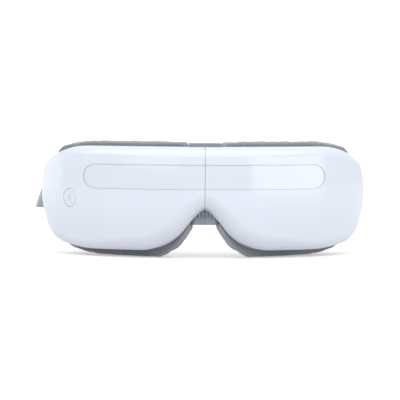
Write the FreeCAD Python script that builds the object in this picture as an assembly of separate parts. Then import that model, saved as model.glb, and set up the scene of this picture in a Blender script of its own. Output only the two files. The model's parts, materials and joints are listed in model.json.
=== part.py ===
"""Folding eye massager mask: two hinged pods, soft face pads, air massage units and an elastic head strap.

Frame, in millimetres: +X to the right seen from the front, +Y from the front shells towards the wearer,
+Z up. The origin is under the middle of the whole object, on the surface that it stands on.
Each pod is drawn on the +X side in a pod frame of its own, whose x runs along the pod from the hinge axis,
whose y points at the wearer's face and whose z is up. place() turns it into the object's frame, and the
left pod is its mirror image.
"""
import math
import os

import FreeCAD
from FreeCAD import Placement
from FreeCAD import Rotation
from FreeCAD import Vector

import Part

# ---------------------------------------------------------------- the whole mask
OVERALL_DEPTH = 160.0  # front of the shells to the back of the strap buckle
FRONT_Y = -OVERALL_DEPTH / 2
FRONT_RADIUS = 115.0  # front surface, seen from above
CROWN_RISE = 4.0  # how far the front surface falls back at CROWN_REACH above and below its middle
CROWN_REACH = 44.0
CROWN_MIDDLE = 37.0
HINGE_DEPTH = 16.0  # hinge axis behind the front of the shells
POD_ANGLE = 31.5  # angle between a pod's face side and the X axis
SEAM_GAP = 0.1  # each shell stops this far from the middle plane
HINGE_AXIS = Vector(0, FRONT_Y + HINGE_DEPTH, 0)
ARC_AXIS = Vector(0, FRONT_Y + FRONT_RADIUS, 0)
POD_TO_OBJECT = Placement(HINGE_AXIS, Rotation(Vector(0, 0, 1), POD_ANGLE))
LOWEST, HIGHEST = -10.0, 90.0  # limits of construction solids

# Layers of a pod, along its own y
FACE_Y = -0.6  # the pad's face side, just short of the plane where the folded pods meet
FLOOR_BACK = -10.0  # the floor of the rear housing lies between these two
FLOOR_FRONT = -12.0
SEAM_DEPTH = 7.6  # how deep the shell is at the middle seam
WALL = 2.4
EDGE_RADIUS = 6.5
NOTCH_RADIUS = 10.0  # rounding of the same edge along the nose notch
NOTCH_TOP, NOTCH_END = 45.0, 10.0  # the notch's edge lies below this z and before this x

# Outlines in the pod's x and z, as corners with a rounding radius: (x, z, radius)
SHELL_OUTLINE = [
    (-24, 66.7, 0), (82.5, 66.7, 70), (104.9, 57.9, 12), (110.5, 35.5, 35), (98.8, 8.7, 20), (71, 4.5, 100),
    (17.9, 4.4, 36), (-2.6, 28.4, 6), (-24, 37.8, 0),
]
PAD_OUTLINE = [
    (8, 69, 2.5), (81, 69, 70), (100.2, 65.5, 8), (102.3, 50, 30), (102.3, 24, 30), (95, 6, 14),
    (78, 1.2, 60), (50, 0, 60), (27, 0, 24), (13.9, 7.2, 16), (5.3, 18.3, 5), (5.3, 29, 3), (8, 32.5, 3),
]

# Obround inlay across both shells, and the power button in the left one
INLAY_HALF_LENGTH = 73.0
INLAY_LOW, INLAY_HIGH = 41.4, 56.0
INLAY_DEPTH = 1.2  # floor of its recess, behind the front surface
INLAY_SINK = 0.25  # its own face, behind the front surface
INLAY_GAP = 0.12
BUTTON_X, BUTTON_Z, BUTTON_RADIUS = 81.6, 35.2, 5.6
BUTTON_GAP = 0.12
FLANGE_REACH = 1.2  # how far the button's flange stands out behind the shell
BUTTON_REAR, FLANGE_FRONT = 111.3, 112.3  # radii about the axis of the front surface
BOARD_REAR = 104.0  # the same for the rear of the switch board

# Eye opening of the pads, the well behind it and the massage unit in it
EYE_CENTRE = (43.0, 37.8)
EYE_HALF = (24.0, 16.0)
CUP_GAP = 1.2
CUP_BACK, CUP_FACE, CUP_RIM = -9.6, -7.4, -6.2  # pod y of the plate's two sides and of its raised rim
NUB_RADIUS, NUB_STEP = 2.1, 7.2
NUB_COLUMNS, NUB_ROWS = 5, 3
FILM_THICK = 0.25
WELL_BOTTOM = -18.5
WELL_WALL = 1.5
WELL_INSET = 3.0  # the well is this much smaller than the eye opening all round

# Hinge
KNUCKLE_RADIUS, PIN_RADIUS = 3.2, 1.5
KNUCKLE_LOW, KNUCKLE_STEP, KNUCKLE_COUNT = 34.0, 6.2, 5
KNUCKLE_GAP = 0.2
KNUCKLE_HIGH = KNUCKLE_LOW + KNUCKLE_STEP * KNUCKLE_COUNT - KNUCKLE_GAP
LEAF_BACK = -8.45  # pod y of the leaf's plate, on the side of its screw heads
LEAF_THICK = 1.5
LEAF_START, LEAF_END = 8.3, 17.5
POCKET_BACK = -6.4  # the pad is cut away over the leaf up to here

# Screws
BOSSES = [(20, 59.5), (83, 57.5), (86, 17), (28, 12.5)]  # shell to rear housing, pod x and z
LEAF_SCREWS = [(12.5, 37), (12.5, 49), (12.5, 61)]
BOSS_RADIUS = 2.8
SHANK_RADIUS, SCREW_HEAD_RADIUS, DRIVER_RADIUS = 0.8, 1.9, 0.7
SCREW_LENGTH = 5.0
HEAD_SINK = 1.3  # depth of the counterbores in the rear housing

# Vibration motors, along the pod's x
MOTOR_START, MOTOR_LENGTH = 34.0, 12.0
MOTOR_Y, MOTOR_RADIUS = -16.9, 3.0
RIGHT_MOTOR_Z, LEFT_MOTOR_Z = 59.6, 14.0
WEIGHT_RADIUS, WEIGHT_LENGTH = 2.9, 5.0

# Circuit boards on the posts of the well, components as (x, z, width, height, thickness)
BOARD_POSTS = [(39, 30), (60, 30), (39, 46), (60, 46)]
POST_HEIGHT, POST_RADIUS = 1.6, 1.4
BOARD_THICK = 1.2
BOARD_X, BOARD_LOW = (36, 63), 27
MAIN_BOARD_TOP, DRIVER_BOARD_TOP = 55, 49
FLEX_SOCKET = (36.6, 50.6, 4, 4.4, 1.5)
MAIN_CHIPS = [
    FLEX_SOCKET, (44, 33, 8, 8, 1.0), (55, 44, 4, 4, 1.4), (55, 32, 5, 3, 1.2), (45, 45, 6, 3, 1.6),
]
DRIVER_CHIPS = [(36.6, 43, 4, 4.4, 1.5), (46, 34, 6, 6, 1.0), (55, 41, 4, 4, 1.4), (55, 31, 5, 3, 1.2)]

# Battery and charging inlet, left pod
CELL_X, CELL_Y, CELL_Z = (27, 71), (-19.0, -12.0), (54.4, 62.4)
SOCKET_X, SOCKET_Y = 61.0, -18.0
SOCKET_HALF_WIDTH, SOCKET_HALF_HEIGHT = 4.45, 1.6
SOCKET_LOW, SOCKET_HIGH = 5.0, 12.0

# Air parts: the pump and the valve of the right pod and the lines to both bladders
PUMP_Y, PUMP_Z = -18.6, 14.0
PUMP_RADIUS = 5.4
CRANK_OFFSET = 1.9
NIPPLE_RADIUS = 1.3
AIR_X, AIR_Z = 29.0, 40.5
AIR_BLOCK_FRONT, AIR_BLOCK_BACK = -24.4, -20.2
AIR_BLOCK_HALF = (4.0, 4.5)
HOSE_Y = (AIR_BLOCK_FRONT + AIR_BLOCK_BACK) / 2

# Pleated bridge and the lines that cross behind it
BELLOWS_LOW, BELLOWS_HIGH, BELLOWS_HALF = 20.2, 68.9, 9.6
BELLOWS_THICK, BELLOWS_NEAR, BELLOWS_FAR = 0.5, 8.1, 9.1
PLEATS = 8
HEM_HEIGHT = 1.4
CROSSING_DEPTH = 10.3
CROSSING_HOSE_RADIUS = 0.8
FLEX_LOW, FLEX_HIGH, FLEX_THICK = 51.0, 56.0, 0.4

# Head strap and buckle
STRAP_LOW, STRAP_HIGH, STRAP_THICK = 27.0, 47.0, 1.8
STRAP_BAR = Vector(107.3, -6.2, 0)  # in the pod frame
BAR_RADIUS = 1.5
BAR_REACH = 2.4  # how far the bar goes into each ear beyond the strap
LUG_GAP, LUG_THICK, LUG_RADIUS = 0.6, 2.6, 2.9
STRAP_SIDE = 98.6  # half width of the strap loop
STRAP_TURN = 62.0  # radius of its rear corners
STRAP_STRAIGHT = 36.0
BUCKLE_THICK, BUCKLE_HALF, BUCKLE_RIM = 5.6, 11.0, 3.5
BUCKLE_WINDOW = 5.6
STRAP_BACK = OVERALL_DEPTH - BUCKLE_THICK / 2


# ---------------------------------------------------------------- helpers
def place(shape):
    """From the pod frame to the object's frame, right pod."""
    moved = shape.copy()
    moved.Placement = POD_TO_OBJECT.multiply(moved.Placement)
    return moved


def mirror(shape):
    return shape.mirror(Vector(0, 0, 0), Vector(1, 0, 0))


def rounded(corners, to_vector):
    """A closed wire through the corners (a, b, radius), each rounded by its radius."""
    count = len(corners)
    flat = [Vector(a, b, 0) for a, b, _ in corners]
    ends = []
    edges = []
    for i, (_, _, radius) in enumerate(corners):
        here, before, after = flat[i], flat[i - 1], flat[(i + 1) % count]
        into, out = (here - before).normalize(), (after - here).normalize()
        if radius == 0:
            ends.append((here, here))
            continue
        turn = math.acos(max(-1.0, min(1.0, into.dot(out))))
        reach = radius * math.tan(turn / 2)
        start, end = here - into * reach, here + out * reach
        inward = (out - into).normalize()
        middle = here + inward * (radius / math.cos(turn / 2) - radius)
        ends.append((start, end))
        edges.append(Part.Arc(*(to_vector(p.x, p.y) for p in (start, middle, end))).toShape())
    for i in range(count):
        a, b = ends[i][1], ends[(i + 1) % count][0]
        if a.distanceToPoint(b) > 1e-6:
            edges.append(Part.LineSegment(to_vector(a.x, a.y), to_vector(b.x, b.y)).toShape())
    return Part.Wire(Part.__sortEdges__(edges))


def at_y(y):
    """Turns outline coordinates into points of the plane at this y."""
    return lambda a, b: Vector(a, y, b)


def at_z(z, y_shift=0.0):
    """Turns outline coordinates into points of the plane at this z."""
    return lambda a, b: Vector(a, b + y_shift, z)


def prism(corners, y_from, y_to, inset=0.0):
    """The outline between two planes of constant y, shrunk by inset."""
    wire = rounded(corners, at_y(y_from))
    if inset:
        wire = wire.makeOffset2D(-inset)
    return Part.Face(wire).extrude(Vector(0, y_to - y_from, 0))


def column(corners, z_from, z_to, y_shift=0.0):
    """An outline in x and y between two heights."""
    wire = rounded(corners, at_z(z_from, y_shift))
    return Part.Face(wire).extrude(Vector(0, 0, z_to - z_from))


def slab(x, y, z):
    """A box from three (low, high) pairs."""
    return Part.makeBox(x[1] - x[0], y[1] - y[0], z[1] - z[0], Vector(x[0], y[0], z[0]))


def rod(radius, start, end):
    axis = end - start
    return Part.makeCylinder(radius, axis.Length, start, axis)


def upright(radius, middle, z_from, z_to):
    """A cylinder along z about a point's x and y."""
    return rod(radius, Vector(middle.x, middle.y, z_from), Vector(middle.x, middle.y, z_to))


def across(radius, x, z, y_from, y_to):
    """A cylinder along y."""
    return rod(radius, Vector(x, y_from, z), Vector(x, y_to, z))


def fuse(shapes):
    return shapes[0].multiFuse(shapes[1:]).removeSplitter()


def obround(x, z, grow=0.0):
    """Corners of an upright-ended obround between two (low, high) pairs, grown all round."""
    radius = (z[1] - z[0]) / 2 + grow - 0.01
    low, high = z[0] - grow, z[1] + grow
    left, right = x[0] - grow, x[1] + grow
    return [(left, low, radius), (right, low, radius), (right, high, radius), (left, high, radius)]


def eye_oval(grow=0.0):
    """The outline of the eye opening, grown all round."""
    (x, z), (wide, high) = EYE_CENTRE, EYE_HALF
    return obround((x - wide, x + wide), (z - high, z + high), grow)


def front_solid(inset):
    """Everything behind the crowned front surface, moved back by inset. Object's frame."""
    radius = FRONT_RADIUS - inset
    low = Vector(radius - CROWN_RISE, 0, CROWN_MIDDLE - CROWN_REACH)
    top = Vector(radius - CROWN_RISE, 0, CROWN_MIDDLE + CROWN_REACH)
    crown = Part.Arc(low, Vector(radius, 0, CROWN_MIDDLE), top).toShape()
    rest = Part.makePolygon([top, Vector(0, 0, top.z), Vector(0, 0, low.z), low]).Edges
    face = Part.Face(Part.Wire([crown] + rest))
    solid = face.revolve(Vector(0, 0, 0), Vector(0, 0, 1), 360)
    solid.translate(ARC_AXIS)
    return solid


def right_of(x):
    return slab((x, 200), (-200, 200), (-50, 150))


def parting_solid():
    """Everything in front of the shell's rear edge, right half. Object's frame."""
    angle = math.radians(POD_ANGLE)
    slope = math.tan(angle)
    plane_depth = HINGE_DEPTH + FLOOR_FRONT / math.cos(angle)
    bend_x, far = (SEAM_DEPTH - plane_depth) / slope, 150.0
    corners = [
        (-1, -20, 0), (-1, SEAM_DEPTH, 0), (bend_x, SEAM_DEPTH, 0), (far, plane_depth + far * slope, 0),
        (far, -20, 0),
    ]
    return column(corners, LOWEST, HIGHEST, FRONT_Y)


def rim_radius(point, inset):
    """Rounding of the front edge at one of its corner points: wider along the nose notch."""
    local = POD_TO_OBJECT.inverse().multVec(point)
    on_notch = local.z < NOTCH_TOP and local.x < NOTCH_END
    return (NOTCH_RADIUS if on_notch else EDGE_RADIUS) - inset


def pod_solid(inset):
    """A pod's filled outer form, all surfaces moved in by inset, its front edge rounded. Object's frame."""
    block = place(prism(SHELL_OUTLINE, -70, 12, inset)).common(front_solid(inset))
    rim = []
    for number, edge in enumerate(block.Edges, 1):
        middle = edge.valueAt((edge.FirstParameter + edge.LastParameter) / 2)
        radius = math.hypot(middle.x - ARC_AXIS.x, middle.y - ARC_AXIS.y)
        fall = CROWN_RISE * ((middle.z - CROWN_MIDDLE) / CROWN_REACH) ** 2
        if abs(radius - (FRONT_RADIUS - inset - fall)) < 0.35 and middle.y < ARC_AXIS.y:
            ends = [edge.valueAt(edge.FirstParameter), edge.valueAt(edge.LastParameter)]
            rim.append((number, rim_radius(ends[0], inset), rim_radius(ends[1], inset)))
    document = FreeCAD.newDocument()
    base = document.addObject("Part::Feature", "block")
    base.Shape = block
    fillet = document.addObject("Part::Fillet", "rim")
    fillet.Base = base
    fillet.Edges = rim
    document.recompute()
    return fillet.Shape.copy()


def inlay_prism(grow):
    """The obround of the front inlay, as a bar through the front of the mask."""
    corners = obround((-INLAY_HALF_LENGTH, INLAY_HALF_LENGTH), (INLAY_LOW, INLAY_HIGH), grow)
    return prism(corners, FRONT_Y - 10, FRONT_Y + 75)


# ---------------------------------------------------------------- shells, inlay and rear housing
def front_shell():
    """The glossy front half of a pod, with screw bosses and the recess for the inlay."""
    beyond_seam = right_of(SEAM_GAP + WALL)
    shell = pod_solid(0).common(parting_solid()).common(right_of(SEAM_GAP))
    shell = shell.cut(pod_solid(WALL).common(beyond_seam))
    inside = pod_solid(WALL - 0.5).common(beyond_seam)
    bosses = [place(across(BOSS_RADIUS, x, z, -40, FLOOR_FRONT)).common(inside) for x, z in BOSSES]
    shell = shell.fuse(fuse(bosses))
    for x, z in BOSSES:
        shell = shell.cut(place(across(SHANK_RADIUS, x, z, FLOOR_FRONT - SCREW_LENGTH - 0.5, 0)))
    return shell.cut(inlay_prism(0).cut(front_solid(INLAY_DEPTH)))


def trim_panel():
    """One half of the shallow inlay across the front."""
    band = front_solid(INLAY_SINK).cut(front_solid(INLAY_DEPTH))
    return band.common(inlay_prism(-INLAY_GAP)).common(right_of(SEAM_GAP))


def motor_rib(x, z):
    """One half-round seat of the vibration motor's cradle."""
    rib = slab((x, x + 1.6), (MOTOR_Y - 1, FLOOR_FRONT), (z - 4.2, z + 4.2))
    return rib.cut(along_x(MOTOR_RADIUS, x - 1, x + 3, MOTOR_Y, z))


def strap_lug(z):
    """An ear at the temple end that holds one end of the strap bar."""
    x, y = STRAP_BAR.x, STRAP_BAR.y
    ear = upright(LUG_RADIUS, STRAP_BAR, z, z + LUG_THICK)
    root_x = 103.0
    corners = [(root_x, FLOOR_BACK, 0), (root_x, FLOOR_FRONT + 0.1, 0), (root_x + 3.5, FLOOR_FRONT + 0.1, 0),
               (x + 2.7, y - 1.0, 0), (x - 2.3, y + 1.6, 0)]
    return ear.fuse(column(corners, z, z + LUG_THICK))


def bar_rod(radius):
    """The line of the strap bar, from ear to ear."""
    return upright(radius, STRAP_BAR, STRAP_LOW - BAR_REACH, STRAP_HIGH + BAR_REACH)


def rear_housing(motor_z, extra):
    """The pod's inner half: floor, well for the air bladder, posts, motor cradle and strap ears."""
    floor = place(prism(SHELL_OUTLINE, FLOOR_FRONT, FLOOR_BACK, 0.5)).common(right_of(BELLOWS_HALF + 0.4))
    well_front = WELL_BOTTOM - WELL_WALL
    pieces = [floor, place(prism(eye_oval(WELL_WALL - WELL_INSET), well_front, FLOOR_BACK))] + extra
    for x, z in LEAF_SCREWS:
        pieces.append(place(across(2.5, x, z, FLOOR_FRONT - 4, FLOOR_FRONT)))
    for x, z in BOARD_POSTS:
        pieces.append(place(across(POST_RADIUS, x, z, well_front - POST_HEIGHT, well_front + 0.5)))
    for x in (MOTOR_START + 1.5, MOTOR_START + 8.0):
        pieces.append(place(motor_rib(x, motor_z)))
    for z in (STRAP_LOW - LUG_GAP - LUG_THICK, STRAP_HIGH + LUG_GAP):
        pieces.append(place(strap_lug(z)))
    body = fuse(pieces).cut(place(prism(eye_oval(-WELL_INSET), WELL_BOTTOM, FLOOR_BACK)))
    body = body.cut(place(across(NIPPLE_RADIUS + 0.05, AIR_X, AIR_Z, -22, -15)))
    for x, z in BOSSES:
        body = body.cut(place(across(SHANK_RADIUS + 0.35, x, z, -20, 0)))
        body = body.cut(place(across(SCREW_HEAD_RADIUS + 0.2, x, z, FLOOR_BACK - HEAD_SINK, 0)))
    for x, z in LEAF_SCREWS:
        body = body.cut(place(across(SHANK_RADIUS, x, z, FLOOR_FRONT - SCREW_LENGTH + 1.5, 0)))
    for low, high in ((AIR_Z - 1.3, AIR_Z + 1.3), (FLEX_LOW - 0.4, FLEX_HIGH + 0.4)):
        depths = (FRONT_Y + 5, FRONT_Y + CROSSING_DEPTH + 1.3)
        body = body.cut(slab((BELLOWS_HALF - 1, 21), depths, (low, high)))
    return body.cut(place(bar_rod(BAR_RADIUS)))


# ---------------------------------------------------------------- soft parts and massage unit
def face_pad():
    """Foam pad with its eye opening, cut away over the hinge leaf."""
    pad = prism(PAD_OUTLINE, FLOOR_BACK, FACE_Y)
    opening = prism(eye_oval(), FLOOR_BACK - 1, 0)
    pocket_z = (KNUCKLE_LOW - 2.5, KNUCKLE_HIGH + 3.2)
    leaf_pocket = slab((0, LEAF_END + 0.7), (FLOOR_BACK - 1, POCKET_BACK), pocket_z)
    return place(pad.cut(opening).cut(leaf_pocket))


def massage_cup():
    """Soft plate with a raised rim and rounded nubs that presses on the eye socket."""
    plate = prism(eye_oval(-CUP_GAP), CUP_BACK, CUP_FACE)
    rim = prism(eye_oval(-CUP_GAP), CUP_FACE, CUP_RIM)
    rim = rim.cut(prism(eye_oval(-CUP_GAP - 2.2), CUP_FACE, CUP_RIM))
    pieces = [plate, rim]
    shoulder = CUP_FACE + 0.8
    for i in range(NUB_COLUMNS):
        for j in range(NUB_ROWS):
            x = EYE_CENTRE[0] + (i - (NUB_COLUMNS - 1) / 2) * NUB_STEP
            z = EYE_CENTRE[1] + (j - (NUB_ROWS - 1) / 2) * NUB_STEP
            ball = Part.makeSphere(NUB_RADIUS, Vector(x, shoulder, z))
            pieces.append(across(NUB_RADIUS, x, z, CUP_FACE - 0.2, shoulder))
            pieces.append(ball.common(slab((0, 90), (shoulder, 0), (0, 90))))
    return place(fuse(pieces))


def heating_film():
    return place(prism(eye_oval(-CUP_GAP - 1), CUP_BACK - 0.3, CUP_BACK - 0.3 + FILM_THICK))


def air_bladder():
    """Flat air cushion in the housing's well, behind the massage plate."""
    bag = prism(eye_oval(-WELL_INSET - 0.6), WELL_BOTTOM + 0.5, FLOOR_BACK - 0.2)
    rims = [edge for edge in bag.Edges if edge.BoundBox.YLength < 0.01]
    return place(bag.makeFillet(1.8, rims))


# ---------------------------------------------------------------- hinge and screws
def hinge_leaf(first):
    """Steel leaf for the right side: a screwed plate, an arm and every second knuckle."""
    plate_z = (KNUCKLE_LOW - 1.5, KNUCKLE_HIGH + 1)
    plate = slab((LEAF_START, LEAF_END), (LEAF_BACK - LEAF_THICK, LEAF_BACK), plate_z)
    arm_corners = [(8.38, -9.7, 0), (9.62, -8.7, 0), (2.22, 0.5, 0), (0.98, -0.5, 0)]
    arm = column(arm_corners, KNUCKLE_LOW, KNUCKLE_HIGH)
    barrel = upright(KNUCKLE_RADIUS, Vector(0, 0, 0), KNUCKLE_LOW, KNUCKLE_HIGH)
    knuckles = []
    for i in range(first, KNUCKLE_COUNT, 2):
        z = KNUCKLE_LOW + i * KNUCKLE_STEP
        knuckles.append(slab((-6, 8.2), (-9, 6), (z, z + KNUCKLE_STEP - KNUCKLE_GAP)))
    leaf = [plate, arm.common(slab((5.2, 20), (-20, 20), (LOWEST, HIGHEST)))]
    for zone in knuckles:
        leaf.append(fuse([arm, barrel]).common(zone))
    solid = fuse(leaf).cut(upright(PIN_RADIUS + 0.03, Vector(0, 0, 0), LOWEST, HIGHEST))
    for x, z in LEAF_SCREWS:
        solid = solid.cut(across(SHANK_RADIUS + 0.3, x, z, -12, 0))
    return place(solid)


def screw(x, z, head_at, head_height):
    """A pan-head screw driven towards the front, with a plain round driver socket."""
    head = across(SCREW_HEAD_RADIUS, x, z, head_at, head_at + head_height)
    shank = across(SHANK_RADIUS, x, z, head_at - SCREW_LENGTH, head_at)
    return place(fuse([head, shank]).cut(across(DRIVER_RADIUS, x, z, head_at + head_height - 0.6, 0)))


def housing_screws():
    return Part.makeCompound([screw(x, z, FLOOR_BACK - HEAD_SINK, HEAD_SINK - 0.1) for x, z in BOSSES])


def hinge_screws():
    return Part.makeCompound([screw(x, z, LEAF_BACK, 0.9) for x, z in LEAF_SCREWS])


def hinge_pin():
    """Pin through all knuckles, with a flat head at each end."""
    low, high = KNUCKLE_LOW - 0.6, KNUCKLE_HIGH + 0.6
    shank = upright(PIN_RADIUS, HINGE_AXIS, low - 0.8, high + 0.8)
    heads = [upright(2.5, HINGE_AXIS, z, z + 0.8) for z in (low - 0.8, high)]
    return fuse([shank] + heads)


def hinge_washers():
    bore = upright(PIN_RADIUS + 0.02, HINGE_AXIS, LOWEST, HIGHEST)
    places = (KNUCKLE_LOW - 0.55, KNUCKLE_HIGH + 0.1)
    return Part.makeCompound([upright(2.9, HINGE_AXIS, low, low + 0.4).cut(bore) for low in places])


# ---------------------------------------------------------------- vibration motors and circuit boards
def along_x(radius, x_from, x_to, y, z):
    """A cylinder along x."""
    return rod(radius, Vector(x_from, y, z), Vector(x_to, y, z))


def vibration_motor(z):
    end = MOTOR_START + MOTOR_LENGTH
    can = along_x(MOTOR_RADIUS - 0.02, MOTOR_START, end, MOTOR_Y, z)
    cap = along_x(1.6, end, end + 0.6, MOTOR_Y, z)
    return place(can.fuse(cap).cut(along_x(0.55, end - 3, end + 2, MOTOR_Y, z)))


def motor_weight(z):
    """Eccentric half-round weight on its shaft."""
    end = MOTOR_START + MOTOR_LENGTH
    shaft = along_x(0.5, end - 2.8, end + 6.5, MOTOR_Y, z)
    half = along_x(WEIGHT_RADIUS, end + 1, end + 1 + WEIGHT_LENGTH, MOTOR_Y, z)
    return place(fuse([shaft, half.common(slab((0, 120), (-40, 0), (z - 0.7, z + 5)))]))


def circuit_board(top, chips):
    """Board on the four posts of the well, with its components on the front side."""
    back = WELL_BOTTOM - WELL_WALL - POST_HEIGHT
    front = back - BOARD_THICK
    pieces = [slab(BOARD_X, (front, back), (BOARD_LOW, top))]
    for x, z, wide, high, tall in chips:
        pieces.append(slab((x, x + wide), (front - tall, front), (z, z + high)))
    return place(fuse(pieces))


# ---------------------------------------------------------------- left pod only
def along_button(radius, r_from, r_to):
    """A cylinder along the button's axis, between two radii about the axis of the front surface."""
    angle = math.asin(BUTTON_X / FRONT_RADIUS)
    base, out = ARC_AXIS + Vector(0, 0, BUTTON_Z), Vector(-math.sin(angle), -math.cos(angle), 0)
    return rod(radius, base + out * r_from, base + out * r_to)


def button_mark():
    """A short upright groove in the button's face."""
    groove = slab((-0.3, 0.3), (-0.25, 1), (-1.7, 1.7))
    angle = math.asin(BUTTON_X / FRONT_RADIUS)
    groove.rotate(Vector(0, 0, 0), Vector(0, 0, 1), -math.degrees(angle) + 180)
    face = ARC_AXIS + Vector(-math.sin(angle), -math.cos(angle), 0) * FRONT_RADIUS
    groove.translate(face + Vector(0, 0, BUTTON_Z))
    return groove


def power_button():
    """Round cap with a flange behind the shell and a stem that reaches the switch."""
    cap = along_button(BUTTON_RADIUS, BUTTON_REAR, FRONT_RADIUS)
    rim = max(cap.Edges, key=lambda edge: (edge.CenterOfMass - ARC_AXIS).Length)
    cap = cap.makeFillet(0.4, [rim])
    flange = along_button(BUTTON_RADIUS + FLANGE_REACH, BUTTON_REAR, FLANGE_FRONT)
    return fuse([cap, flange, along_button(1.2, 107.9, BUTTON_REAR)]).cut(button_mark())


def switch_board():
    """Round board with its push switch, seated on a pillar of the housing."""
    return fuse([along_button(7.0, BOARD_REAR, 105.2), along_button(2.2, 105.2, 107.2)])


def battery_cell():
    cell = slab(CELL_X, CELL_Y, CELL_Z)
    long_edges = [edge for edge in cell.Edges if edge.BoundBox.XLength > 40]
    return place(cell.makeFillet(1.6, long_edges))


def socket_prism(grow, low, high):
    """The obround of the charging inlet between two heights."""
    corners = obround((SOCKET_X - SOCKET_HALF_WIDTH, SOCKET_X + SOCKET_HALF_WIDTH),
                      (SOCKET_Y - SOCKET_HALF_HEIGHT, SOCKET_Y + SOCKET_HALF_HEIGHT), grow)
    return column(corners, low, high)


def charging_socket():
    """Metal sleeve of the charging inlet with its contact tongue, opening downwards."""
    sleeve = socket_prism(0, SOCKET_LOW, SOCKET_HIGH).cut(socket_prism(-0.3, SOCKET_LOW, SOCKET_HIGH - 1))
    tongue = slab((SOCKET_X - 3.2, SOCKET_X + 3.2), (SOCKET_Y - 0.35, SOCKET_Y + 0.35),
                  (SOCKET_LOW + 1.2, SOCKET_HIGH - 0.5))
    return place(fuse([sleeve, tongue]))


def charging_board():
    """Small board behind the inlet, on two posts, with one chip."""
    board = slab((54.5, 67.5), (-16.35, -15.15), (7.6, 18))
    posts = [across(1.5, x, 15.5, -15.15, FLOOR_FRONT) for x in (57, 65)]
    return place(fuse([board, slab((58.5, 63.5), (-17.6, -16.35), (13.2, 17))] + posts))


# ---------------------------------------------------------------- right pod only
def pump_rod(radius, x_from, x_to, dz=0.0):
    return along_x(radius, x_from, x_to, PUMP_Y, PUMP_Z + dz)


def pump_motor():
    return place(pump_rod(PUMP_RADIUS, 50, 66).cut(pump_rod(0.8, 49, 58)))


def pump_crank():
    """Motor shaft, balanced disc and the off-centre pin that works the diaphragm."""
    crank_pin = pump_rod(0.7, 43.6, 45, CRANK_OFFSET)
    return place(fuse([pump_rod(0.75, 45, 57.5), pump_rod(3.2, 45, 48), crank_pin]))


def pump_head():
    """Diaphragm block on its foot, with the outlet nipple on top."""
    block = slab((32, 43), (-23.6, -13.2), (9.8, 19.6)).cut(pump_rod(3.0, 41.5, 44))
    nipple = upright(1.1, Vector(34, -21.8, 0), 19.6, 22.6)
    return place(fuse([block, nipple, slab((33, 42), (-13.2, FLOOR_FRONT), (10, 18))]))


def pump_bracket():
    return place(slab((52, 64), (-17.5, FLOOR_FRONT), (8.1, 19.9)).cut(pump_rod(PUMP_RADIUS + 0.02, 51, 65)))


def air_valve():
    case = slab((70, 80), (-20.5, FLOOR_FRONT), (9.6, 17.2))
    return place(fuse([case, along_x(1.0, 67.5, 70, -17, 13.4)]))


def speaker():
    basket, magnet = across(8.5, 79, 37, -15.4, FLOOR_FRONT), across(4.5, 79, 37, -17.4, -15.4)
    return place(fuse([basket, magnet]))


def air_block():
    """Small connector in front of the well, with a nipple through the well floor into the bladder."""
    wide, high = AIR_BLOCK_HALF
    depths = (AIR_BLOCK_FRONT, AIR_BLOCK_BACK)
    block = slab((AIR_X - wide, AIR_X + wide), depths, (AIR_Z - high, AIR_Z + high))
    return place(fuse([block, across(NIPPLE_RADIUS, AIR_X, AIR_Z, AIR_BLOCK_BACK, WELL_BOTTOM + 0.4)]))


def tube_path(points, radius):
    """A round tube through the points, with balls at its corners."""
    pieces = [rod(radius, start, end) for start, end in zip(points, points[1:])]
    pieces += [Part.makeSphere(radius, corner) for corner in points[1:-1]]
    return fuse(pieces)


def pump_hose():
    """Hose from the pump's outlet up to the air tee."""
    points = [Vector(34, -21.8, 22.7), Vector(34, -21.8, 26), Vector(AIR_X, HOSE_Y, 31),
              Vector(AIR_X, HOSE_Y, AIR_Z - AIR_BLOCK_HALF[1])]
    return place(tube_path(points, 1.3))


# ---------------------------------------------------------------- middle of the mask
def nose_bridge_bellows():
    """Pleated curtain that closes the gap between the pods, with a hem along its lower edge."""
    step = BELLOWS_HALF / PLEATS
    half_thick = BELLOWS_THICK / 2
    front_side, back_side = [], []
    for i in range(2 * PLEATS + 1):
        x = -BELLOWS_HALF + i * step
        depth = BELLOWS_NEAR if i % 2 else BELLOWS_FAR
        front_side.append((x, depth - half_thick, 0))
        back_side.append((x, depth + half_thick, 0))
    curtain = column(front_side + back_side[::-1], BELLOWS_LOW, BELLOWS_HIGH, FRONT_Y)
    hem = slab((-BELLOWS_HALF, BELLOWS_HALF), (FRONT_Y + BELLOWS_NEAR - half_thick,
               FRONT_Y + BELLOWS_FAR + half_thick), (BELLOWS_LOW, BELLOWS_LOW + HEM_HEIGHT))
    return fuse([curtain, hem])


def crossing_hose():
    """Air hose from the right pod's tee to the left pod's elbow, behind the bellows."""
    block_side = AIR_X - AIR_BLOCK_HALF[0]
    ends = [place(Part.Vertex(Vector(x, HOSE_Y, AIR_Z))).Point for x in (block_side - 5, block_side - 0.02)]
    right = [Vector(18.5, FRONT_Y + CROSSING_DEPTH, AIR_Z)] + ends
    left = [Vector(-point.x, point.y, point.z) for point in reversed(right)]
    return tube_path(left + right, CROSSING_HOSE_RADIUS)


def flex_cable():
    """Flat cable between the two circuit boards."""
    path = [(-41.5, 14.3), (-27, 7.9), (-19, CROSSING_DEPTH), (19, CROSSING_DEPTH), (27, 7.9), (41.5, 14.3)]
    half = FLEX_THICK / 2
    corners = [(x, depth - half, 0) for x, depth in path] + [(x, depth + half, 0) for x, depth in path[::-1]]
    return column(corners, FLEX_LOW, FLEX_HIGH, FRONT_Y)


# ---------------------------------------------------------------- head strap
def strap_bar():
    return place(bar_rod(BAR_RADIUS - 0.02))


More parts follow.
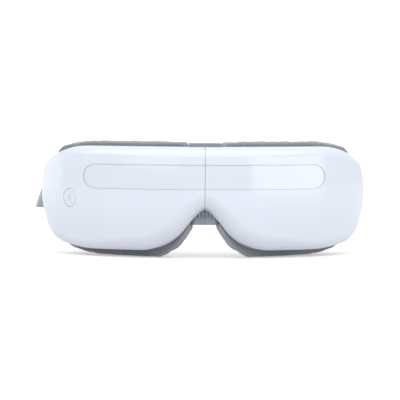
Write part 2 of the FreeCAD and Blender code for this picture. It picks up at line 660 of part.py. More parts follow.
def head_strap_side():
    """One side of the strap: sewn loop around the bar, straight run and the bend to the back."""
    bar = place(Part.Vertex(STRAP_BAR)).Point
    loop_radius = BAR_RADIUS + 0.1 + STRAP_THICK
    start = bar.y - FRONT_Y
    settled = start + 20  # depth from which the strap runs straight back
    outer_x, inner_x = bar.x + loop_radius, bar.x + loop_radius - STRAP_THICK
    side_in = STRAP_SIDE - STRAP_THICK
    outer_back, inner_back = STRAP_BACK + STRAP_THICK / 2, STRAP_BACK - STRAP_THICK / 2
    corners = [
        (outer_x, start, 0), (STRAP_SIDE, settled, 60), (STRAP_SIDE, outer_back, STRAP_TURN),
        (STRAP_STRAIGHT, outer_back, 0), (STRAP_STRAIGHT, inner_back, 0),
        (side_in, inner_back, STRAP_TURN - STRAP_THICK), (side_in, settled, 60 - STRAP_THICK),
        (inner_x, start, 0),
    ]
    band = column(corners, STRAP_LOW, STRAP_HIGH, FRONT_Y)
    loop = upright(loop_radius, bar, STRAP_LOW, STRAP_HIGH)
    return fuse([band, loop]).cut(upright(BAR_RADIUS + 0.1, bar, STRAP_LOW - 1, STRAP_HIGH + 1))


def head_strap_back():
    middle = FRONT_Y + STRAP_BACK
    return slab((-STRAP_STRAIGHT, STRAP_STRAIGHT), (middle - STRAP_THICK / 2, middle + STRAP_THICK / 2),
                (STRAP_LOW, STRAP_HIGH))


def strap_buckle():
    """Sliding buckle: a flat frame around the strap with two windows on its outer side."""
    middle = FRONT_Y + STRAP_BACK
    body = slab((-BUCKLE_HALF, BUCKLE_HALF), (middle - BUCKLE_THICK / 2, middle + BUCKLE_THICK / 2),
                (STRAP_LOW - BUCKLE_RIM, STRAP_HIGH + BUCKLE_RIM))
    corners = [edge for edge in body.Edges if edge.BoundBox.YLength > BUCKLE_THICK - 0.1]
    body = body.makeFillet(3.0, corners)
    slot_half = STRAP_THICK / 2 + 0.08
    body = body.cut(slab((-BUCKLE_HALF - 1, BUCKLE_HALF + 1), (middle - slot_half, middle + slot_half),
                         (STRAP_LOW - 0.08, STRAP_HIGH + 0.08)))
    for x in (-BUCKLE_WINDOW - 2, 2):
        body = body.cut(slab((x, x + BUCKLE_WINDOW), (middle, middle + 10), (STRAP_LOW + 1, STRAP_HIGH - 1)))
    return body


# ---------------------------------------------------------------- the whole mask
def both_sides():
    """Parts that each pod has alike."""
    alike = {
        "trim_panel": trim_panel(), "face_pad": face_pad(), "massage_cup": massage_cup(),
        "heating_film": heating_film(), "air_bladder": air_bladder(), "housing_screws": housing_screws(),
        "hinge_screws": hinge_screws(), "strap_bar": strap_bar(), "head_strap": head_strap_side(),
    }
    for name, shape in alike.items():
        yield "right_" + name, shape
        yield "left_" + name, mirror(shape)


def right_pod():
    return {
        "right_front_shell": front_shell(), "right_rear_housing": rear_housing(RIGHT_MOTOR_Z, []),
        "right_hinge_leaf": hinge_leaf(0), "right_vibration_motor": vibration_motor(RIGHT_MOTOR_Z),
        "right_motor_weight": motor_weight(RIGHT_MOTOR_Z), "air_tee": air_block(),
        "driver_board": circuit_board(DRIVER_BOARD_TOP, DRIVER_CHIPS), "speaker": speaker(),
        "pump_motor": pump_motor(), "pump_crank": pump_crank(), "pump_head": pump_head(),
        "pump_bracket": pump_bracket(), "pump_hose": pump_hose(), "air_valve": air_valve(),
    }


def left_pod():
    socket_cut = place(socket_prism(0.15, 3.0, 9.0))
    switch_pillar = mirror(along_button(3.0, 98.5, BOARD_REAR))
    drawn_on_right = {
        "left_rear_housing": rear_housing(LEFT_MOTOR_Z, [switch_pillar]), "left_hinge_leaf": hinge_leaf(1),
        "left_vibration_motor": vibration_motor(LEFT_MOTOR_Z),
        "left_motor_weight": motor_weight(LEFT_MOTOR_Z),
        "battery_cell": battery_cell(),
        "charging_socket": charging_socket(),
        "charging_board": charging_board(),
        "main_board": circuit_board(MAIN_BOARD_TOP, MAIN_CHIPS), "air_elbow": air_block(),
    }
    pod = {name: mirror(shape) for name, shape in drawn_on_right.items()}
    button_hole = along_button(BUTTON_RADIUS + BUTTON_GAP, 105, 125)
    pod["left_front_shell"] = mirror(front_shell().cut(socket_cut)).cut(button_hole)
    pod["power_button"] = power_button()
    pod["switch_board"] = switch_board()
    return pod


def middle():
    return {
        "hinge_pin": hinge_pin(),
        "hinge_washers": hinge_washers(),
        "nose_bridge_bellows": nose_bridge_bellows(),
        "crossing_hose": crossing_hose(),
        "flex_cable": flex_cable(),
        "head_strap_back": head_strap_back(),
        "strap_buckle": strap_buckle(),
    }


parts = {**dict(both_sides()), **right_pod(), **left_pod(), **middle()}
os.makedirs("parts", exist_ok=True)
for part_name, part_shape in parts.items():
    part_shape.exportStep("parts/" + part_name + ".step")
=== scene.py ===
"""Looks of the folding eye massager mask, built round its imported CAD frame.

Lengths are in millimetres inside the helpers and in metres in Blender. "Pod" coordinates run along one half
of the mask: x from the hinge axis to the temple, y towards the wearer's face, z up. Side 1 is the right half,
seen from the front, and side -1 the left half.
"""

import json
import math

import bmesh
import bpy
import numpy as np
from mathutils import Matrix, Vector, noise
from mathutils.bvhtree import BVHTree


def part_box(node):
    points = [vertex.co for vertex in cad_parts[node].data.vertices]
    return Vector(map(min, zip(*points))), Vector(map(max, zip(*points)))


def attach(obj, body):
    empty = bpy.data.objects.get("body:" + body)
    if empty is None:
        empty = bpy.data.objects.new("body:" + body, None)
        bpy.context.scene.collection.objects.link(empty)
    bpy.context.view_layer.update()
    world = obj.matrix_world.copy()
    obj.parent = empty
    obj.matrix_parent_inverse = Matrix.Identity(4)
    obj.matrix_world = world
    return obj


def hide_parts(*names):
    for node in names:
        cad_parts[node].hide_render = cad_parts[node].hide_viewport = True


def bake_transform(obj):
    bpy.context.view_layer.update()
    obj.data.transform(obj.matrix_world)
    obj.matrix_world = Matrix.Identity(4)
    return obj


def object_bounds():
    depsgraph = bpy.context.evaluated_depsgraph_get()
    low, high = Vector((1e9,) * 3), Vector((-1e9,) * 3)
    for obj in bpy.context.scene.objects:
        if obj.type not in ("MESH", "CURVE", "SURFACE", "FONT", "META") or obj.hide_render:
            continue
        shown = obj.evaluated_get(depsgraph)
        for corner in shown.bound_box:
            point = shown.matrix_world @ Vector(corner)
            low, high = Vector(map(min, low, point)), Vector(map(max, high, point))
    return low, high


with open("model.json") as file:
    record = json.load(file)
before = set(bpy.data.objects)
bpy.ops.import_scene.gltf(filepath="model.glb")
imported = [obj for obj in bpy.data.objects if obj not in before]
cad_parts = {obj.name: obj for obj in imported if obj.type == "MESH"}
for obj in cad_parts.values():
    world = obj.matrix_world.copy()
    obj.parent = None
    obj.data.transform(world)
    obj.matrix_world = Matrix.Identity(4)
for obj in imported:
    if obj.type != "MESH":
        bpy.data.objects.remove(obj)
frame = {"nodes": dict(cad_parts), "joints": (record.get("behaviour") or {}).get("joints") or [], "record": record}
frame_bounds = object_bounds()
MM = 0.001
NODES = frame["nodes"]
JOINTS = {joint["name"]: joint for joint in frame["joints"]}

# ---------------------------------------------------------------- places read from the frame
HINGE = np.array(JOINTS["right_fold"]["pos_m"]) / MM
ACROSS = np.array(JOINTS["right_press"]["axis"], float)  # pod y
ALONG = np.array([ACROSS[1], -ACROSS[0], 0.0])  # pod x
FRONT_Y = frame_bounds[0][1] / MM
SIDES = {1: "right", -1: "left"}


def box_mm(node):
    """Lowest and highest corner of a CAD node, in millimetres."""
    low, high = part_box(node)
    return np.array(low) / MM, np.array(high) / MM


def pod(side, x, y, z):
    """A pod point in the row frame, in millimetres."""
    point = HINGE * np.array([1, 1, 0]) + ALONG * x + ACROSS * y + np.array([0, 0, z])
    point[0] *= side
    return point


def in_pod(point):
    """Pod x, y and z of a point of the right half, in millimetres."""
    rel = np.array(point) - HINGE * np.array([1, 1, 0])
    return np.array([rel @ ALONG, rel @ ACROSS, rel[2]])


# ---------------------------------------------------------------- materials
def new_material(name, color, roughness, **inputs):
    """A plain material, with any further shader inputs given by name."""
    material = bpy.data.materials.new(name)
    material.use_nodes = True
    shader = material.node_tree.nodes["Principled BSDF"]
    shader.inputs["Base Color"].default_value = (*color, 1)
    shader.inputs["Roughness"].default_value = roughness
    for key, value in inputs.items():
        shader.inputs[key.replace("_", " ")].default_value = value
    return material


def add(material, kind, **values):
    """A node with its plain properties and its numbered or named inputs set."""
    node = material.node_tree.nodes.new(kind)
    for key, value in values.items():
        if hasattr(node, key):
            setattr(node, key, value)
        else:
            node.inputs[key.replace("_", " ")].default_value = value
    return node


def link(material, source, target):
    """Joins two sockets of a material."""
    material.node_tree.links.new(source, target)


def coordinates(material, scale, kind="Object"):
    """Texture coordinates, scaled evenly or by axis."""
    where = add(material, "ShaderNodeTexCoord")
    mapping = add(material, "ShaderNodeMapping")
    mapping.inputs["Scale"].default_value = scale if hasattr(scale, "__len__") else (scale, scale, scale)
    link(material, where.outputs[kind], mapping.inputs["Vector"])
    return mapping.outputs["Vector"]


def noise_texture(material, vector, scale, detail=3.0):
    """A 0 to 1 cloud pattern."""
    texture = add(material, "ShaderNodeTexNoise", Scale=scale, Detail=detail)
    link(material, vector, texture.inputs["Vector"])
    return texture.outputs["Fac"]


def ramp(material, value, low, high, low_color, high_color):
    """Colour between two positions of a value."""
    node = add(material, "ShaderNodeValToRGB")
    node.color_ramp.elements[0].position = low
    node.color_ramp.elements[1].position = high
    node.color_ramp.elements[0].color = (*low_color, 1)
    node.color_ramp.elements[1].color = (*high_color, 1)
    link(material, value, node.inputs["Fac"])
    return node.outputs["Color"]


def spread(material, value, low, high):
    """Maps a 0 to 1 value to low to high."""
    node = add(material, "ShaderNodeMapRange")
    node.inputs["To Min"].default_value = low
    node.inputs["To Max"].default_value = high
    link(material, value, node.inputs["Value"])
    return node.outputs["Result"]


def bump(material, height, distance, strength, under=None):
    """A surface normal from a height pattern, on top of another one if given."""
    node = add(material, "ShaderNodeBump")
    node.inputs["Strength"].default_value = strength
    node.inputs["Distance"].default_value = distance
    link(material, height, node.inputs["Height"])
    if under is not None:
        link(material, under, node.inputs["Normal"])
    return node.outputs["Normal"]


def shader_of(material):
    """The material's surface shader."""
    return material.node_tree.nodes["Principled BSDF"]


MIX_FACTOR, MIX_A, MIX_B, MIX_RESULT = 0, 6, 7, 2  # sockets of a colour mix node


def multiply(material, first, second):
    """The product of two colours."""
    mix = add(material, "ShaderNodeMix", data_type="RGBA", blend_type="MULTIPLY")
    mix.inputs[MIX_FACTOR].default_value = 1.0
    link(material, first, mix.inputs[MIX_A])
    link(material, second, mix.inputs[MIX_B])
    return mix.outputs[MIX_RESULT]


def gloss_plastic(name, color, roughness, coat=0.0):
    """Moulded gloss plastic: faint flow variation in tone and roughness, and a slight ripple."""
    material = new_material(name, color, roughness, Coat_Weight=coat, Coat_Roughness=0.06)
    shader = shader_of(material)
    where = coordinates(material, 1.0)
    broad = noise_texture(material, where, 28.0, 2.0)
    darker = tuple(c * 0.975 for c in color)
    link(material, ramp(material, broad, 0.3, 0.7, darker, color), shader.inputs["Base Color"])
    fine = noise_texture(material, where, 900.0, 4.0)
    link(material, spread(material, fine, roughness * 0.8, roughness * 1.25), shader.inputs["Roughness"])
    ripple = noise_texture(material, where, 120.0, 1.0)
    link(material, bump(material, ripple, 0.00002, 0.35), shader.inputs["Normal"])
    return material


def matte_plastic(name, color):
    """Spark-eroded moulded plastic with a fine even grain."""
    material = new_material(name, color, 0.55)
    shader = shader_of(material)
    where = coordinates(material, 1.0)
    fine = noise_texture(material, where, 1400.0, 3.0)
    broad = noise_texture(material, where, 60.0, 2.0)
    darker = tuple(c * 0.88 for c in color)
    link(material, ramp(material, broad, 0.3, 0.7, darker, color), shader.inputs["Base Color"])
    link(material, spread(material, fine, 0.45, 0.68), shader.inputs["Roughness"])
    link(material, bump(material, fine, 0.00006, 0.5), shader.inputs["Normal"])
    return material


def leather(name, color):
    """Soft protein leather: pebbled grain with fine creases, uneven tone, and painted shade that darkens it beside
    its seams.
    """
    material = new_material(name, color, 0.5, Sheen_Weight=0.25, Sheen_Roughness=0.4)
    shader = shader_of(material)
    where = coordinates(material, 1.0)
    cells = add(material, "ShaderNodeTexVoronoi", Scale=1100.0, feature="F1")
    link(material, where, cells.inputs["Vector"])
    pebble = cells.outputs["Distance"]
    crease = noise_texture(material, where, 240.0, 6.0)
    broad = noise_texture(material, where, 45.0, 3.0)
    darker = tuple(c * 0.82 for c in color)
    lighter = tuple(min(1.0, c * 1.08) for c in color)
    tone = ramp(material, broad, 0.3, 0.72, darker, lighter)
    painted_seam_shade = add(material, "ShaderNodeAttribute", attribute_name="seam_shade")
    # painted shade: the seam_shade weight darkens the leather towards this tone along its seams and at the pad's
    # back
    shade = ramp(material, painted_seam_shade.outputs["Fac"], 0.0, 1.0, (1, 1, 1), (0.42, 0.43, 0.45))
    link(material, multiply(material, tone, shade), shader.inputs["Base Color"])
    link(material, spread(material, crease, 0.42, 0.62), shader.inputs["Roughness"])
    low = bump(material, pebble, 0.00012, 0.5)
    link(material, bump(material, crease, 0.00018, 0.45, low), shader.inputs["Normal"])
    return material


def silicone(name, color, roughness=0.42):
    """Soft silicone rubber with a dusty, slightly uneven finish."""
    material = new_material(name, color, roughness, Subsurface_Weight=0.08, Sheen_Weight=0.15)
    shader = shader_of(material)
    shader.inputs["Subsurface Radius"].default_value = (0.002, 0.002, 0.002)
    where = coordinates(material, 1.0)
    broad = noise_texture(material, where, 90.0, 4.0)
    fine = noise_texture(material, where, 2200.0, 2.0)
    darker = tuple(c * 0.9 for c in color)
    link(material, ramp(material, broad, 0.35, 0.7, darker, color), shader.inputs["Base Color"])
    link(material, spread(material, broad, roughness - 0.06, roughness + 0.1), shader.inputs["Roughness"])
    link(material, bump(material, fine, 0.00003, 0.5), shader.inputs["Normal"])
    return material


def metal(name, color, roughness, stretch=(1, 1, 1)):
    """Brushed or turned metal with drawn scratches and dull patches."""
    material = new_material(name, color, roughness, Metallic=1.0)
    shader = shader_of(material)
    where = coordinates(material, stretch)
    lines = noise_texture(material, where, 900.0, 4.0)
    patches = noise_texture(material, where, 70.0, 3.0)
    darker = tuple(c * 0.8 for c in color)
    link(material, ramp(material, patches, 0.35, 0.7, darker, color), shader.inputs["Base Color"])
    link(material, spread(material, lines, roughness * 0.7, roughness * 1.5), shader.inputs["Roughness"])
    link(material, bump(material, lines, 0.00002, 0.4), shader.inputs["Normal"])
    return material


WAVE_OF_MM = 0.314  # scale of a wave texture that repeats once in a millimetre


def woven(name, color, across_mm, along_mm):
    """Elastic webbing from its UV map in millimetres: warp cords along it and finer weft rows across."""
    material = new_material(name, color, 0.85, Sheen_Weight=0.5, Sheen_Roughness=0.5)
    shader = shader_of(material)
    where = coordinates(material, 1.0, "UV")
    warp = add(material, "ShaderNodeTexWave", wave_type="BANDS", bands_direction="Y",
               Scale=WAVE_OF_MM / across_mm, Distortion=0.4, Detail=1.0)
    weft = add(material, "ShaderNodeTexWave", wave_type="BANDS", bands_direction="X",
               Scale=WAVE_OF_MM / along_mm, Distortion=0.5, Detail=1.0)
    for texture in (warp, weft):
        link(material, where, texture.inputs["Vector"])
    weave = add(material, "ShaderNodeMath", operation="MULTIPLY")
    link(material, warp.outputs["Fac"], weave.inputs[0])
    link(material, weft.outputs["Fac"], weave.inputs[1])
    broad = noise_texture(material, where, 0.35, 3.0)
    darker = tuple(c * 0.45 for c in color)
    threads = ramp(material, weave.outputs["Value"], 0.05, 0.7, darker, color)
    patches = ramp(material, broad, 0.3, 0.7, (0.85, 0.85, 0.86), (1, 1, 1))
    link(material, multiply(material, threads, patches), shader.inputs["Base Color"])
    link(material, bump(material, weave.outputs["Value"], 0.00012, 0.8), shader.inputs["Normal"])
    return material


def knitted(name, color):
    """Fine knit of the pleated bridge."""
    material = new_material(name, color, 0.8, Sheen_Weight=0.35, Sheen_Roughness=0.5)
    shader = shader_of(material)
    where = coordinates(material, 1.0)
    fine = noise_texture(material, where, 1800.0, 2.0)
    broad = noise_texture(material, where, 160.0, 4.0)
    darker = tuple(c * 0.8 for c in color)
    link(material, ramp(material, broad, 0.3, 0.7, darker, color), shader.inputs["Base Color"])
    link(material, spread(material, fine, 0.7, 0.9), shader.inputs["Roughness"])
    link(material, bump(material, fine, 0.0001, 0.6), shader.inputs["Normal"])
    return material


def film(name, color):
    """Copper-amber laminate with conductor lines."""
    material = new_material(name, color, 0.3, Coat_Weight=0.4)
    shader = shader_of(material)
    where = coordinates(material, 1.0)
    lines = add(material, "ShaderNodeTexWave", wave_type="BANDS", bands_direction="Z", Scale=160.0)
    link(material, where, lines.inputs["Vector"])
    darker = tuple(c * 0.6 for c in color)
    tone = ramp(material, lines.outputs["Fac"], 0.45, 0.55, darker, color)
    link(material, tone, shader.inputs["Base Color"])
    link(material, bump(material, lines.outputs["Fac"], 0.00003, 0.5), shader.inputs["Normal"])
    return material


def circuit(name, color):
    """Solder mask with a vague pattern of traces."""
    material = new_material(name, color, 0.35)
    shader = shader_of(material)
    where = coordinates(material, 1.0)
    cells = add(material, "ShaderNodeTexBrick", Scale=300.0)
    link(material, where, cells.inputs["Vector"])
    cells.inputs["Color1"].default_value = (*color, 1)
    cells.inputs["Color2"].default_value = (*(c * 0.85 for c in color), 1)
    cells.inputs["Mortar"].default_value = (*(min(1, c * 1.8) for c in color), 1)
    link(material, cells.outputs["Color"], shader.inputs["Base Color"])
    link(material, bump(material, cells.outputs["Fac"], 0.00003, 0.5), shader.inputs["Normal"])
    return material


MATERIALS = {
    "shell_white": gloss_plastic("shell_white", (0.44, 0.474, 0.534), 0.24, 0.7),
    "inlay_white": gloss_plastic("inlay_white", (0.43, 0.466, 0.522), 0.14, 1.0),
    "button_white": gloss_plastic("button_white", (0.435, 0.469, 0.529), 0.32, 0.2),
    "housing_grey": matte_plastic("housing_grey", (0.11, 0.12, 0.135)),
    "pad_leather": leather("pad_leather", (0.205, 0.219, 0.243)),
    "massage_rubber": silicone("massage_rubber", (0.20, 0.215, 0.24)),
    "heater_film": film("heater_film", (0.5, 0.26, 0.08)),
    "bladder_film": silicone("bladder_film", (0.5, 0.52, 0.53), 0.3),
    "hinge_steel": metal("hinge_steel", (0.62, 0.63, 0.65), 0.3, (1, 1, 0.1)),
    "screw_steel": metal("screw_steel", (0.5, 0.51, 0.53), 0.35),
    "motor_metal": metal("motor_metal", (0.66, 0.67, 0.69), 0.28),
    "weight_metal": metal("weight_metal", (0.62, 0.5, 0.28), 0.3),
    "board_green": circuit("board_green", (0.03, 0.19, 0.10)),
    "cell_wrap": gloss_plastic("cell_wrap", (0.06, 0.16, 0.36), 0.4),
    "socket_metal": metal("socket_metal", (0.7, 0.71, 0.73), 0.25),
    "air_plastic": matte_plastic("air_plastic", (0.62, 0.62, 0.6)),
    "speaker_black": matte_plastic("speaker_black", (0.03, 0.03, 0.033)),
    "hose_silicone": silicone("hose_silicone", (0.55, 0.58, 0.6), 0.35),
    "flex_film": film("flex_film", (0.55, 0.28, 0.07)),
    "bellows_grey": knitted("bellows_grey", (0.175, 0.192, 0.215)),
    "strap_webbing": woven("strap_webbing", (0.232, 0.232, 0.272), 1.15, 0.75),
    "buckle_plastic": matte_plastic("buckle_plastic", (0.09, 0.095, 0.11)),
    "thread": silicone("thread", (0.34, 0.36, 0.39), 0.6),
}


def dress(obj, slot, material=None):
    """Gives a piece the material of a slot, or another one."""
    obj.data.materials.clear()
    obj.data.materials.append(MATERIALS[material or slot])
    return obj


def dress_frame():
    """Each CAD node takes the material of its slot in the record."""
    for entry in frame["record"]["subparts"]:
        obj = NODES[entry["node"]]
        obj.data.materials.clear()
        obj.data.materials.append(MATERIALS[entry["material_slot"]])


# ---------------------------------------------------------------- mesh helpers
def mesh_object(name, points, faces, slot, material=None):
    """A mesh from points in millimetres."""
    mesh = bpy.data.meshes.new(name)
    mesh.from_pydata([tuple(np.array(p) * MM) for p in points], [], faces)
    mesh.update()
    tidy = bmesh.new()
    tidy.from_mesh(mesh)
    bmesh.ops.recalc_face_normals(tidy, faces=tidy.faces)
    tidy.to_mesh(mesh)
    tidy.free()
    for polygon in mesh.polygons:
        polygon.use_smooth = True
    obj = bpy.data.objects.new(name, mesh)
    bpy.context.scene.collection.objects.link(obj)
    return dress(obj, slot, material)


def skin(rings, closed_ring=True, closed_line=False, caps=False):
    """Points and quads over a line of rings, each a list of the same number of points."""
    count = len(rings[0])
    points = [p for ring in rings for p in ring]
    faces = []
    lines = len(rings) if closed_line else len(rings) - 1
    spans = count if closed_ring else count - 1
    for i in range(lines):
        j = (i + 1) % len(rings)
        for k in range(spans):
            m = (k + 1) % count
            faces.append((i * count + k, i * count + m, j * count + m, j * count + k))
    if caps:
        faces.append(tuple(range(count))[::-1])
        last = (len(rings) - 1) * count
        faces.append(tuple(range(last, last + count)))
    return points, faces


def tube(path, radius, sides):
    """Rings of a round tube along a smooth path of points."""
    path = [np.array(p, float) for p in path]
    rings = []
    up = np.array([0, 0, 1.0])
    for i, point in enumerate(path):
        ahead = path[min(i + 1, len(path) - 1)] - path[max(i - 1, 0)]
        ahead /= np.linalg.norm(ahead)
        side = np.cross(ahead, up)
        if np.linalg.norm(side) < 0.1:
            side = np.cross(ahead, np.array([1.0, 0, 0]))
        side /= np.linalg.norm(side)
        top = np.cross(side, ahead)
        rings.append([point + radius * (math.cos(a) * side + math.sin(a) * top)
                      for a in np.linspace(0, 2 * math.pi, sides, endpoint=False)])
    return rings


def smooth_path(corners, step=1.0, rounds=4):
    """An evenly stepped path through corners, its bends eased by repeated corner cutting."""
    points = [np.array(c, float) for c in corners]
    for _ in range(rounds):
        cut = [points[0]]
        for a, b in zip(points, points[1:]):
            cut += [a * 0.75 + b * 0.25, a * 0.25 + b * 0.75]
        points = cut + [points[-1]]
    return resample(points, step)


def resample(points, step):
    """Points spaced by about one step along a line."""
    points = np.array(points)
    lengths = np.concatenate([[0], np.cumsum(np.linalg.norm(np.diff(points, axis=0), axis=1))])
    count = max(2, int(round(lengths[-1] / step)) + 1)
    where = np.linspace(0, lengths[-1], count)
    return np.stack([np.interp(where, lengths, points[:, k]) for k in range(points.shape[1])], axis=1)


def eased(t):
    """0 to 1 with a level start and end."""
    return t * t * (3 - 2 * t)


def joined(groups):
    """Several (points, faces) pairs as one."""
    points, faces = [], []
    for some_points, some_faces in groups:
        base = len(points)
        points += list(some_points)
        faces += [tuple(i + base for i in face) for face in some_faces]
    return points, faces


# ---------------------------------------------------------------- face pads
PAD_RAYS = 300
PAD_LEVEL = -4.0  # pod y of the rays that find the pad's walls
PAD_PRESSURE = 15.0
PAD_SLACK = 0.025  # the leather is cut this share too large, so that it puckers between its seams
SWELL_CAP = 1.4  # no point moves further than this
SWELL_FRAMES = 20
FACE_LIMIT = -0.5  # pod y that the pad's face keeps below, since the folded halves meet at 0
GATHER = 0.14  # depth of the uneven gathers
GATHER_RANGE = (-4.6, -1.4)  # pod y of the rings that are gathered
STITCH_STEP, STITCH_LONG, STITCH_RADIUS = 2.6, 1.7, 0.22
STITCH_INSET = 2.9  # from the pad's outline to the row of stitches
STITCH_Y = {"outer": -2.25, "eye": -2.1}


def pad_outlines(side):
    """Inner and outer wall of the CAD pad, as pod (x, z) pairs in evenly spaced directions from the eye."""
    cad = NODES[SIDES[side] + "_face_pad"]
    tree = BVHTree.FromPolygons([v.co for v in cad.data.vertices], [p.vertices for p in cad.data.polygons])
    low, high = box_mm(SIDES[side] + "_massage_cup")
    middle = (low + high) / 2 * np.array([side, 1, 1])
    centre = in_pod(middle)
    start = pod(side, centre[0], PAD_LEVEL, centre[2])
    inner, outer = [], []
    for angle in np.linspace(0, 2 * math.pi, PAD_RAYS, endpoint=False):
        ahead = pod(side, math.cos(angle), 0, math.sin(angle)) - pod(side, 0, 0, 0)
        first = tree.ray_cast(Vector(start * MM), Vector(ahead))[0]
        just_past = first + Vector(ahead) * 0.0005
        second = tree.ray_cast(just_past, Vector(ahead))[0]
        for hit, found in ((first, inner), (second, outer)):
            spot = in_pod(np.array(hit) / MM * np.array([side, 1, 1]))
            found.append((spot[0], spot[2]))
    return np.array(inner), np.array(outer)


def inward(outline, distance):
    """The outline moved along its own normal, towards its middle for a positive distance."""
    ahead = np.roll(outline, -1, axis=0) - np.roll(outline, 1, axis=0)
    normal = np.stack([ahead[:, 1], -ahead[:, 0]], axis=1)
    normal /= np.linalg.norm(normal, axis=1)[:, None]
    return outline - normal * distance


def gather(ray):
    """Small uneven gathers along a seam: smooth noise on a circle, so that the last ray meets the first."""
    a = ray * 2 * math.pi / PAD_RAYS
    spot = Vector((math.cos(a) * 9, math.sin(a) * 9, 3.7))
    return GATHER * (noise.noise(spot) + 0.6 * noise.noise(spot * 2.7))


# Rings of the pad from its back, round the side, over the face and into the eye opening: outline that the
# ring follows, distance in from it or share of the way across, pod y, sewn down
PAD_RINGS = [
    ("outer", 2.2, -9.85, True), ("outer", 0.9, -9.7, True), ("outer", -0.1, -9.0, False),
    ("outer", -0.5, -7.6, False), ("outer", -0.6, -6.0, False), ("outer", -0.3, -4.6, False),
    ("outer", 0.3, -3.9, False), ("outer", 0.9, -3.75, True), ("outer", 1.5, -3.7, True),
    ("outer", 2.3, -3.0, False), ("outer", 3.8, -2.3, False), ("outer", 5.8, -1.85, False),
    ("outer", 7.6, -1.6, False), ("mid", 0.25, -1.5, False), ("mid", 0.5, -1.45, False),
    ("mid", 0.75, -1.5, False), ("inner", 6.0, -1.65, False), ("inner", 4.2, -1.95, False),
    ("inner", 2.5, -2.8, False), ("inner", 1.6, -3.7, True), ("inner", 1.1, -3.8, True),
    ("inner", 0.5, -4.2, False), ("inner", 0.25, -5.2, False), ("inner", 0.2, -7.5, True),
    ("inner", 0.6, -9.4, True), ("inner", 1.4, -9.85, True),
]
FACE_START, FACE_STOP = 7.6, 6.0  # the "mid" rings lie between these distances from both outlines
SIDE_SEAM_Y = -5.0  # sewn rings nearer to the face than this lie in its seams


def pad_line(inner, outer, base, amount):
    """Outline of one ring of the pad."""
    if base == "outer":
        return inward(outer, amount)
    if base == "inner":
        return inward(inner, -amount)
    start, stop = inward(outer, FACE_START), inward(inner, -FACE_STOP)
    return start * (1 - amount) + stop * amount


def seam_shade(ring):
    """Weight of the painted shade: full on the sewn rings of the face, a little beside them and at the pad's back,
    and 0 elsewhere.
    """
    neighbours = PAD_RINGS[ring - 1], PAD_RINGS[(ring + 1) % len(PAD_RINGS)]
    if PAD_RINGS[ring][3]:
        return 1.0 if PAD_RINGS[ring][2] > SIDE_SEAM_Y else 0.5
    return 0.4 if any(other[3] and other[2] > SIDE_SEAM_Y for other in neighbours) else 0.0


def face_pad(side):
    """Padded leather ring: rounded side band, sewn edge, crowned face and a sewn eye opening."""
    inner, outer = pad_outlines(side)
    rings = []
    for base, amount, y, _ in PAD_RINGS:
        ring = []
        gathered = GATHER_RANGE[0] < y < GATHER_RANGE[1]
        for k, (x, z) in enumerate(pad_line(inner, outer, base, amount)):
            ring.append(pod(side, x, y + (gather(k) if gathered else 0.0), z))
        rings.append(ring)
    points, faces = skin(rings, closed_line=True)
    pad = mesh_object(SIDES[side] + "_pad_leather", points, faces, "pad_leather")
    # painted shade: each point takes its ring's weight, which darkens the leather along the seams
    shade = pad.data.attributes.new("seam_shade", "FLOAT", "POINT")
    for i in range(len(points)):
        shade.data[i].value = seam_shade(i // PAD_RAYS)
    swell(pad, [i for i in range(len(points)) if PAD_RINGS[i // PAD_RAYS][3]])
    press_flat(pad, side)
    smoother = pad.modifiers.new("smoother", "SUBSURF")
    smoother.levels = smoother.render_levels = 1
    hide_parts(SIDES[side] + "_face_pad")
    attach(pad, SIDES[side] + "_half")
    pad_stitches(side, inward(outer, STITCH_INSET), "outer")
    pad_stitches(side, inward(inner, -STITCH_INSET), "eye")


def swell(obj, sewn):
    """Blows the leather up between its sewn lines with a cloth simulation, and keeps the result."""
    start = [v.co.copy() for v in obj.data.vertices]
    group = obj.vertex_groups.new(name="sewn")
    group.add(sewn, 1.0, "REPLACE")
    cloth = obj.modifiers.new("swell", "CLOTH")
    cloth.settings.quality = 5
    cloth.settings.mass = 0.15
    cloth.settings.tension_stiffness = 25
    cloth.settings.compression_stiffness = 15
    cloth.settings.shear_stiffness = 10
    cloth.settings.bending_stiffness = 0.3
    cloth.settings.vertex_group_mass = "sewn"
    cloth.settings.shrink_min = -PAD_SLACK
    cloth.settings.use_pressure = True
    cloth.settings.uniform_pressure_force = PAD_PRESSURE
    cloth.settings.effector_weights.gravity = 0
    for step in range(SWELL_FRAMES):
        bpy.context.scene.frame_set(step + 1)
    swollen = obj.evaluated_get(bpy.context.evaluated_depsgraph_get())
    moved = [v.co.copy() for v in swollen.data.vertices]
    obj.modifiers.remove(cloth)
    obj.vertex_groups.remove(group)
    bpy.context.scene.frame_set(1)
    shifts = [(b - a).length for a, b in zip(start, moved)]
    for vertex, old, new, shift in zip(obj.data.vertices, start, moved, shifts):
        vertex.co = old + (new - old) * min(1.0, SWELL_CAP * MM / max(shift, 1e-9))


def press_flat(obj, side):
    """Keeps the face short of the plane where the folded halves meet, and nothing below the floor."""
    normal = ACROSS * np.array([side, 1, 1])
    plane = (pod(side, 0, FACE_LIMIT, 0) @ normal) * MM
    for vertex in obj.data.vertices:
        over = vertex.co.dot(Vector(normal)) - plane
        if over > 0:
            vertex.co -= Vector(normal) * over
        vertex.co.z = max(vertex.co.z, 0.0)


